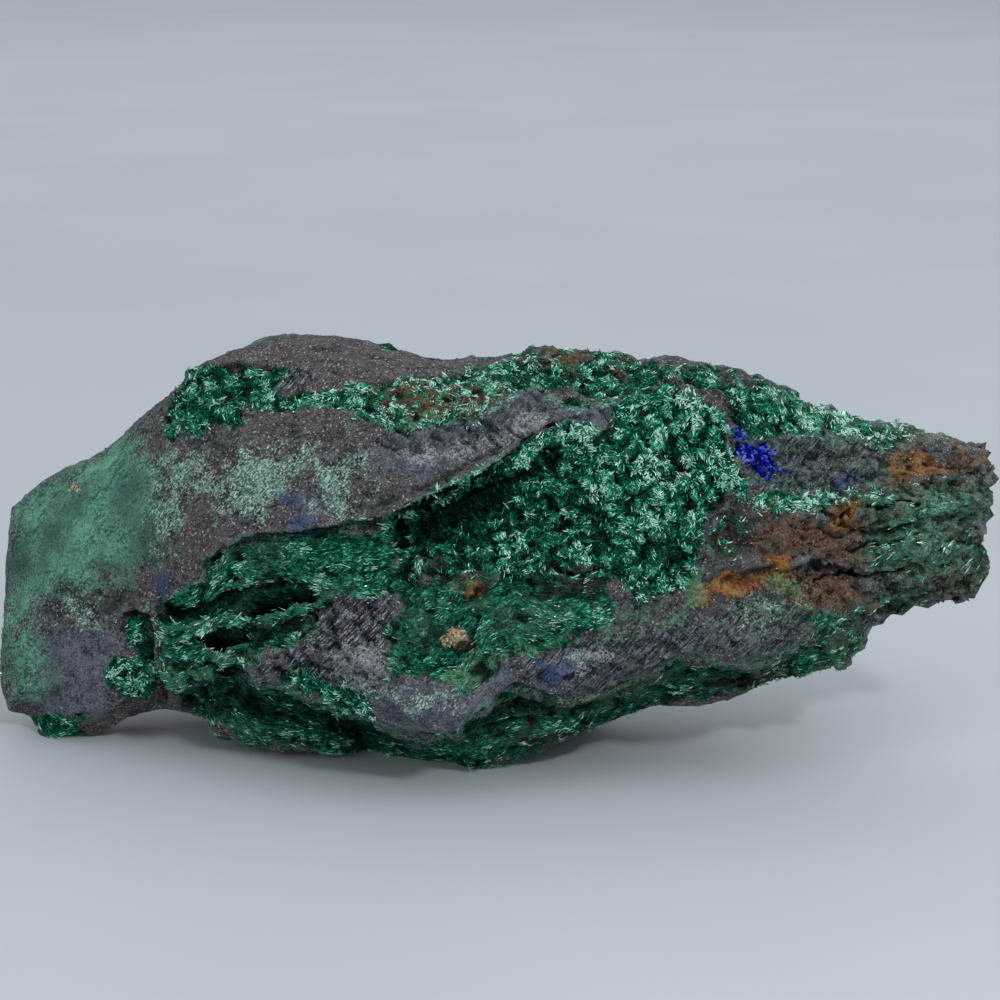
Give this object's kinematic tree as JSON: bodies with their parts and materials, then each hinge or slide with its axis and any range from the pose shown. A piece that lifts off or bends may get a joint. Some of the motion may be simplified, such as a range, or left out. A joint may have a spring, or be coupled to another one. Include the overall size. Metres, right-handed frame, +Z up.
{
  "type": "azurite malachite specimen",
  "caption": "Long wedge-shaped mineral specimen of ironstone with malachite crusts, a crystal-lined hollow and azurite.",
  "frame": {"origin": "on the resting plane, under the middle of the specimen", "axes": "+X along the length towards the thin right end, +Z up, the show face looks towards -Y"},
  "size_m": [0.202, 0.0916, 0.0798],
  "materials": {
    "ironstone": "rough, dull, stained green",
    "malachite": "silky acicular crystals",
    "azurite": "vitreous small prisms"
  },
  "bodies": {
    "root": {"ironstone_rock": "ironstone", "malachite_hollow_crust": "malachite", "malachite_pocket_crust": "malachite", "azurite_crystals": "azurite"}
  },
  "joints": []
}
